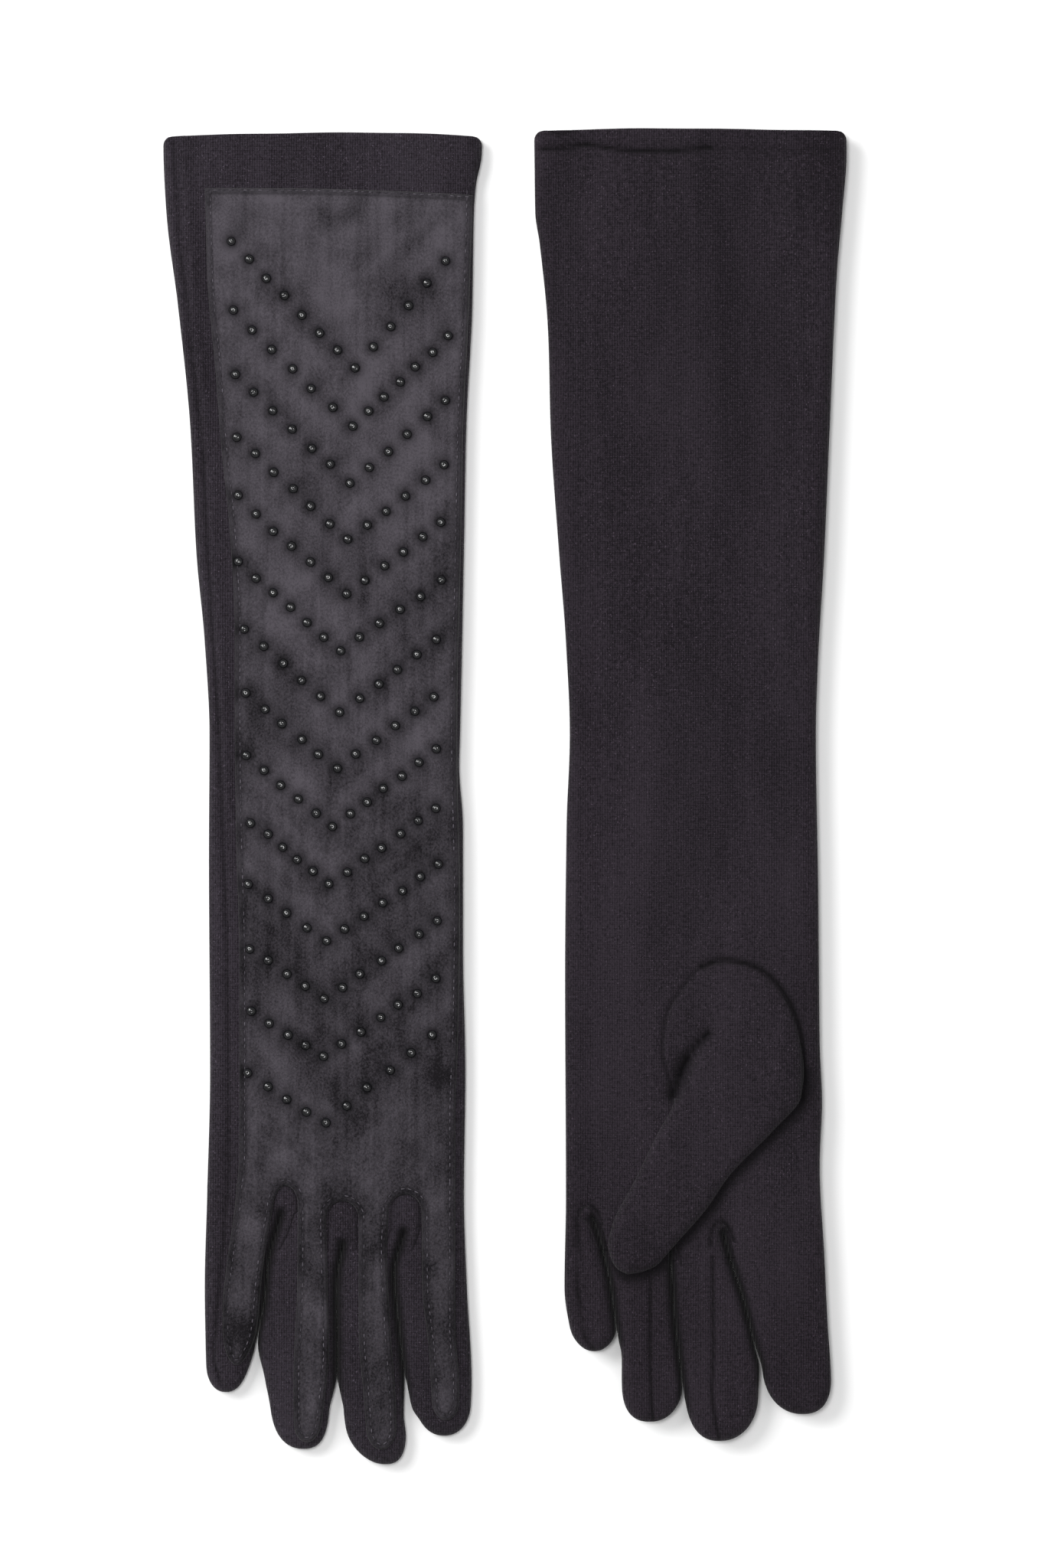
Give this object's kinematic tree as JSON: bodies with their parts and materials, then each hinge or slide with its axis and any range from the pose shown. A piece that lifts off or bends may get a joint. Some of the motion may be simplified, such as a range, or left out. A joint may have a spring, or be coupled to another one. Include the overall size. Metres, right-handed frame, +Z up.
{
  "type": "opera gloves",
  "caption": "Pair of long jersey opera gloves with suede backs set with chevron rows of faceted studs, laid flat, one back up and one palm up.",
  "frame": {"origin": "on the surface the gloves lie on, at the centre of the pair's outline", "axes": "+X across the pair from the right-hand glove to the left-hand glove, +Y from the fingertips to the cuffs, +Z up from the surface"},
  "size_m": [0.2316, 0.452, 0.0144],
  "materials": {
    "jersey": "matte fine-ribbed charcoal knit",
    "suede": "brushed charcoal microsuede with a blotchy nap",
    "stud": "polished black"
  },
  "bodies": {
    "right_glove": {"right_palm_panel": "jersey", "right_back_panel": "jersey", "right_thumb_gusset": "jersey", "right_suede_panel": "suede", "right_little_ring_fourchette": "jersey", "right_ring_middle_fourchette": "jersey", "right_middle_index_fourchette": "jersey", "right_stud_row_01": "stud", "right_stud_row_02": "stud", "right_stud_row_03": "stud", "right_stud_row_04": "stud", "right_stud_row_05": "stud", "right_stud_row_06": "stud", "right_stud_row_07": "stud", "right_stud_row_08": "stud", "right_stud_row_09": "stud", "right_stud_row_10": "stud", "right_stud_row_11": "stud", "right_stud_row_12": "stud", "right_stud_row_13": "stud", "right_stud_row_14": "stud"},
    "left_glove": {"left_palm_panel": "jersey", "left_back_panel": "jersey", "left_thumb_gusset": "jersey", "left_suede_panel": "suede", "left_little_ring_fourchette": "jersey", "left_ring_middle_fourchette": "jersey", "left_middle_index_fourchette": "jersey", "left_stud_row_01": "stud", "left_stud_row_02": "stud", "left_stud_row_03": "stud", "left_stud_row_04": "stud", "left_stud_row_05": "stud", "left_stud_row_06": "stud", "left_stud_row_07": "stud", "left_stud_row_08": "stud", "left_stud_row_09": "stud", "left_stud_row_10": "stud", "left_stud_row_11": "stud", "left_stud_row_12": "stud", "left_stud_row_13": "stud", "left_stud_row_14": "stud"},
    "right_little_tip": {"right_little_finger": "jersey", "right_little_suede_strip": "suede"},
    "right_ring_tip": {"right_ring_finger": "jersey", "right_ring_suede_strip": "suede"},
    "right_middle_tip": {"right_middle_finger": "jersey", "right_middle_suede_strip": "suede"},
    "right_index_tip": {"right_index_finger": "jersey", "right_index_suede_strip": "suede"},
    "right_thumb_stall": {"right_thumb": "jersey"},
    "left_little_tip": {"left_little_finger": "jersey", "left_little_suede_strip": "suede"},
    "left_ring_tip": {"left_ring_finger": "jersey", "left_ring_suede_strip": "suede"},
    "left_middle_tip": {"left_middle_finger": "jersey", "left_middle_suede_strip": "suede"},
    "left_index_tip": {"left_index_finger": "jersey", "left_index_suede_strip": "suede"},
    "left_thumb_stall": {"left_thumb": "jersey"}
  },
  "joints": [
    {"name": "right_little_bend", "type": "hinge", "parent": "right_glove", "child": "right_little_tip", "pos_m": [-0.09065, -0.166, 0.0038], "axis": [-1, 0, 0], "range_deg": [0, 30]},
    {"name": "right_ring_bend", "type": "hinge", "parent": "right_glove", "child": "right_ring_tip", "pos_m": [-0.068, -0.166, 0.0038], "axis": [-1, 0, 0], "range_deg": [0, 30]},
    {"name": "right_middle_bend", "type": "hinge", "parent": "right_glove", "child": "right_middle_tip", "pos_m": [-0.0468, -0.166, 0.0038], "axis": [-1, 0, 0], "range_deg": [0, 30]},
    {"name": "right_index_bend", "type": "hinge", "parent": "right_glove", "child": "right_index_tip", "pos_m": [-0.0245, -0.166, 0.0038], "axis": [-1, 0, 0], "range_deg": [0, 30]},
    {"name": "right_thumb_fold", "type": "hinge", "parent": "right_glove", "child": "right_thumb_stall", "pos_m": [-0.0485, -0.103, 0.0017], "axis": [0.8761, -0.4821, 0], "range_deg": [0, 60]},
    {"name": "left_glove_shift", "type": "slide", "parent": "right_glove", "child": "left_glove", "axis": [1, 0, 0], "range_m": [0, 0.1]},
    {"name": "left_little_bend", "type": "hinge", "parent": "left_glove", "child": "left_little_tip", "pos_m": [0.0267, -0.166, 0.0069], "axis": [-1, 0, 0], "range_deg": [0, 45]},
    {"name": "left_ring_bend", "type": "hinge", "parent": "left_glove", "child": "left_ring_tip", "pos_m": [0.045, -0.166, 0.0069], "axis": [-1, 0, 0], "range_deg": [0, 45]},
    {"name": "left_middle_bend", "type": "hinge", "parent": "left_glove", "child": "left_middle_tip", "pos_m": [0.06785, -0.166, 0.0069], "axis": [-1, 0, 0], "range_deg": [0, 45]},
    {"name": "left_index_bend", "type": "hinge", "parent": "left_glove", "child": "left_index_tip", "pos_m": [0.0943, -0.166, 0.0069], "axis": [-1, 0, 0], "range_deg": [0, 45]},
    {"name": "left_thumb_fold", "type": "hinge", "parent": "left_glove", "child": "left_thumb_stall", "pos_m": [0.072, -0.109, 0.0127], "axis": [-0.8761, 0.4821, 0], "range_deg": [0, 60]}
  ]
}
